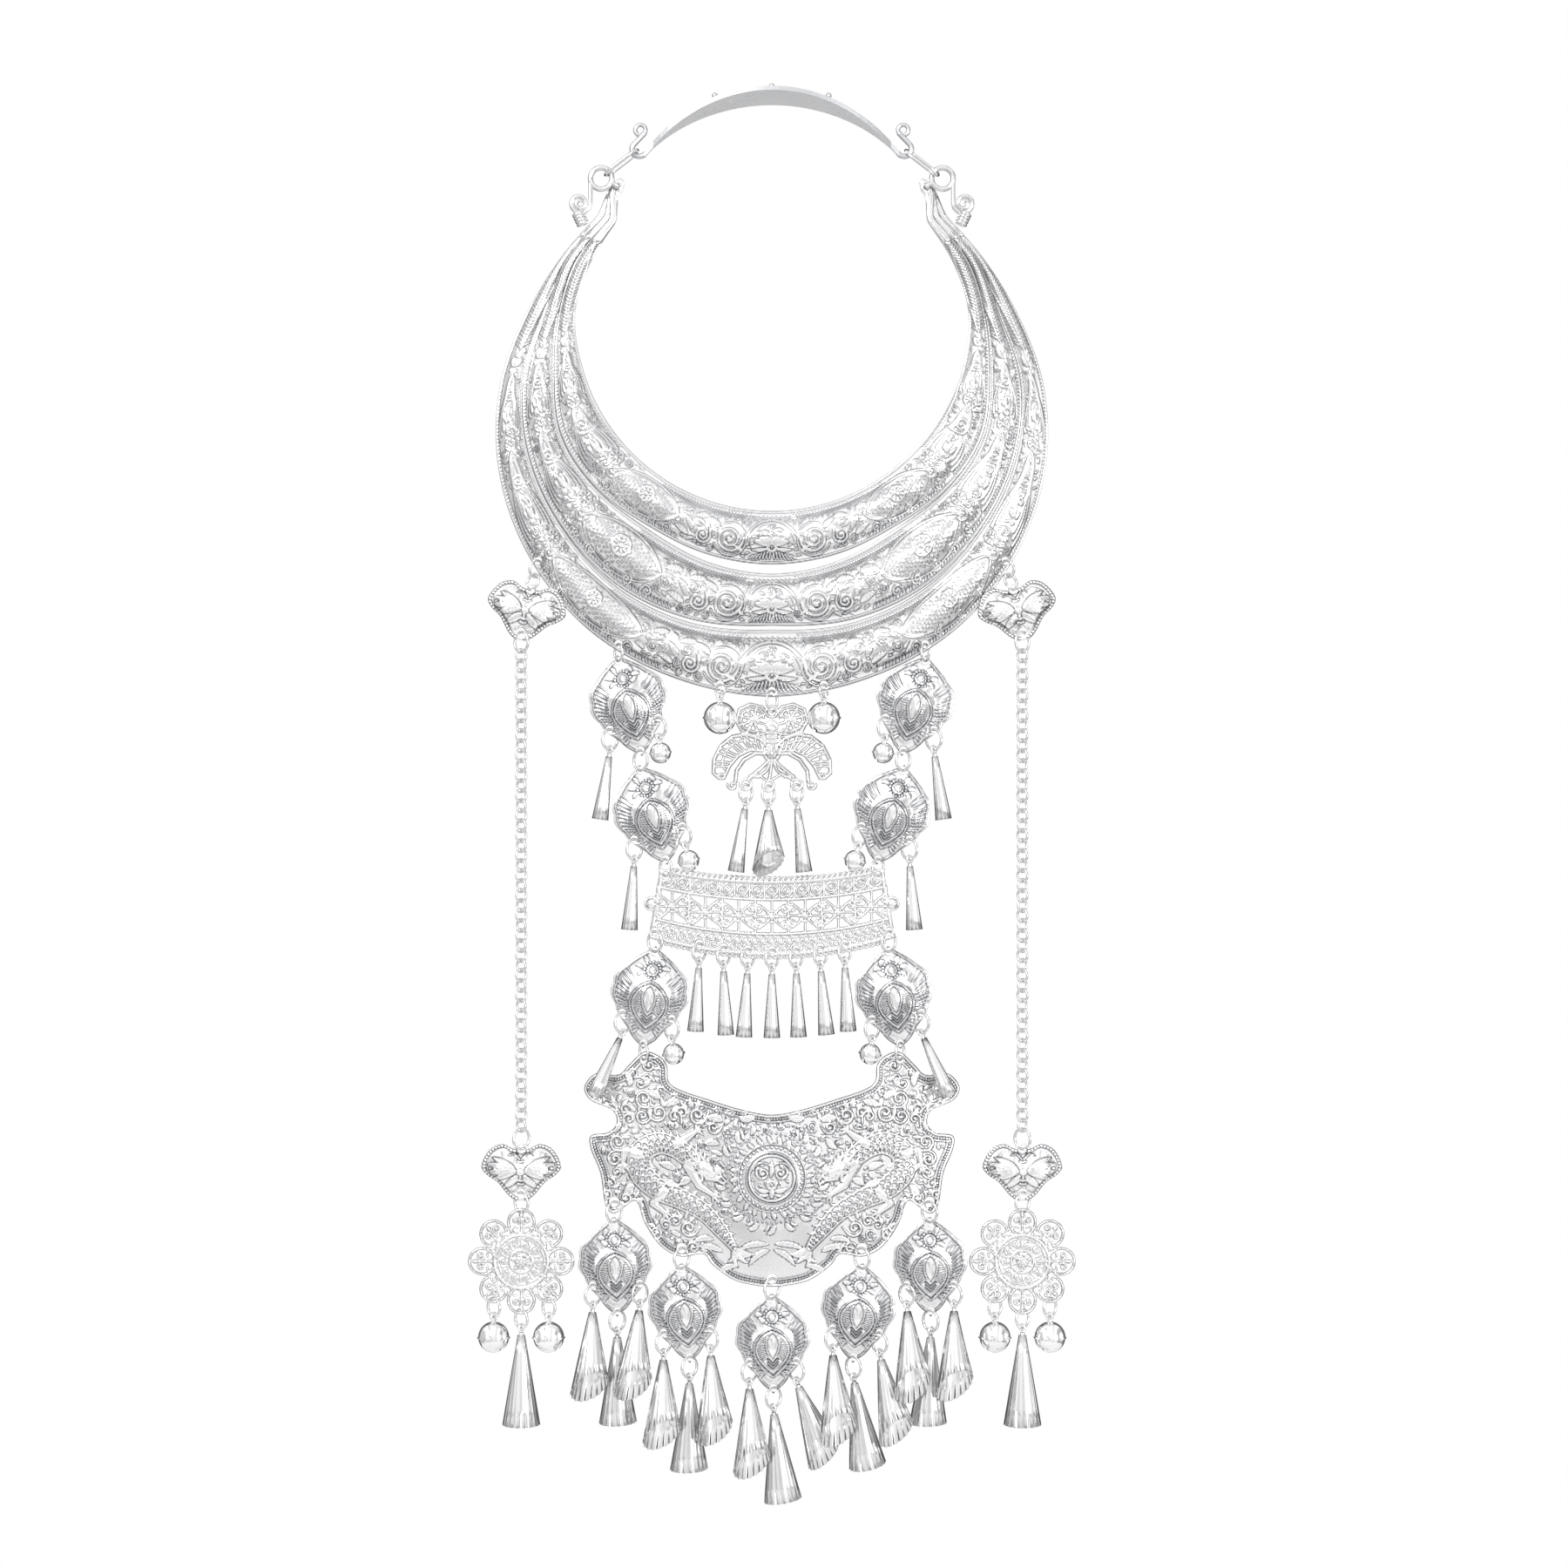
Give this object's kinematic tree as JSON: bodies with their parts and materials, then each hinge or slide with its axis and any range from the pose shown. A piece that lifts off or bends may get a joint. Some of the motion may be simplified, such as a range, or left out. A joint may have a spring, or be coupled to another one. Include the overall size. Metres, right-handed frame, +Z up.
{
  "type": "hmong silver torque",
  "caption": "Ceremonial silver neck ring: crescent tiers of chased sheet hang from a back band and carry plaques, a pierced bar, a dragon breastplate, chains, bells and cones.",
  "frame": {"origin": "middle of the back band's under face at the top, where the neck ring sits on the nape", "axes": "+X to the wearer's left, seen from the front; -Y is the front; +Z is up and the chain, plaques and breastplate hang down -Z"},
  "size_m": [0.2098, 0.0278, 0.4901],
  "materials": {
    "bright_silver": "polished",
    "worked_silver": "polished relief with darker recesses",
    "wire_silver": "polished wire"
  },
  "bodies": {
    "band": {"back_band": "bright_silver"},
    "collar": {"link_left": "wire_silver", "link_right": "wire_silver", "end_hook_left": "wire_silver", "end_hook_right": "wire_silver", "inner_tier": "worked_silver", "middle_tier": "worked_silver", "outer_tier": "worked_silver", "collar_rings": "wire_silver", "collar_bell_left": "bright_silver", "collar_bell_right": "bright_silver", "chain_left": "wire_silver", "chain_right": "wire_silver", "upper_charm_left": "worked_silver", "upper_charm_right": "worked_silver", "lower_charm_left": "worked_silver", "lower_charm_right": "worked_silver", "charm_rings": "wire_silver", "rosette_left": "worked_silver", "rosette_right": "worked_silver", "rosette_rings": "wire_silver", "rosette_bells_left": "bright_silver", "rosette_bells_right": "bright_silver", "rosette_cone_left": "bright_silver", "rosette_cone_right": "bright_silver"},
    "pendant": {"butterfly_pendant": "worked_silver", "pendant_rings": "wire_silver", "pendant_cones": "bright_silver"},
    "drop": {"plaque_left_1": "worked_silver", "plaque_left_2": "worked_silver", "plaque_left_3": "worked_silver", "plaque_right_1": "worked_silver", "plaque_right_2": "worked_silver", "plaque_right_3": "worked_silver", "drop_rings": "wire_silver", "plaque_bells": "bright_silver", "plaque_cones": "bright_silver", "pierced_bar": "worked_silver", "bar_rings": "wire_silver", "bar_cones": "bright_silver"},
    "breastplate": {"breastplate": "worked_silver", "plate_rings": "wire_silver", "fringe_plaque_1": "worked_silver", "fringe_plaque_2": "worked_silver", "fringe_plaque_3": "worked_silver", "fringe_plaque_4": "worked_silver", "fringe_plaque_5": "worked_silver", "fringe_rings": "wire_silver", "fringe_cones_1": "bright_silver", "fringe_cones_2": "bright_silver", "fringe_cones_3": "bright_silver", "fringe_cones_4": "bright_silver", "fringe_cones_5": "bright_silver"}
  },
  "joints": [
    {"name": "band_hinge", "type": "hinge", "parent": "band", "child": "collar", "pos_m": [0, 0, -0.0193], "axis": [1, 0, 0], "range_deg": [-20, 20]},
    {"name": "butterfly_swing", "type": "hinge", "parent": "collar", "child": "pendant", "pos_m": [0, 0.00435, -0.2042], "axis": [1, 0, 0], "range_deg": [-25, 25]},
    {"name": "drop_swing", "type": "hinge", "parent": "collar", "child": "drop", "pos_m": [0, 0.00435, -0.18806], "axis": [1, 0, 0], "range_deg": [-25, 25]},
    {"name": "breastplate_swing", "type": "hinge", "parent": "drop", "child": "breastplate", "pos_m": [0, 0.00435, -0.32593], "axis": [1, 0, 0], "range_deg": [-20, 25]}
  ]
}
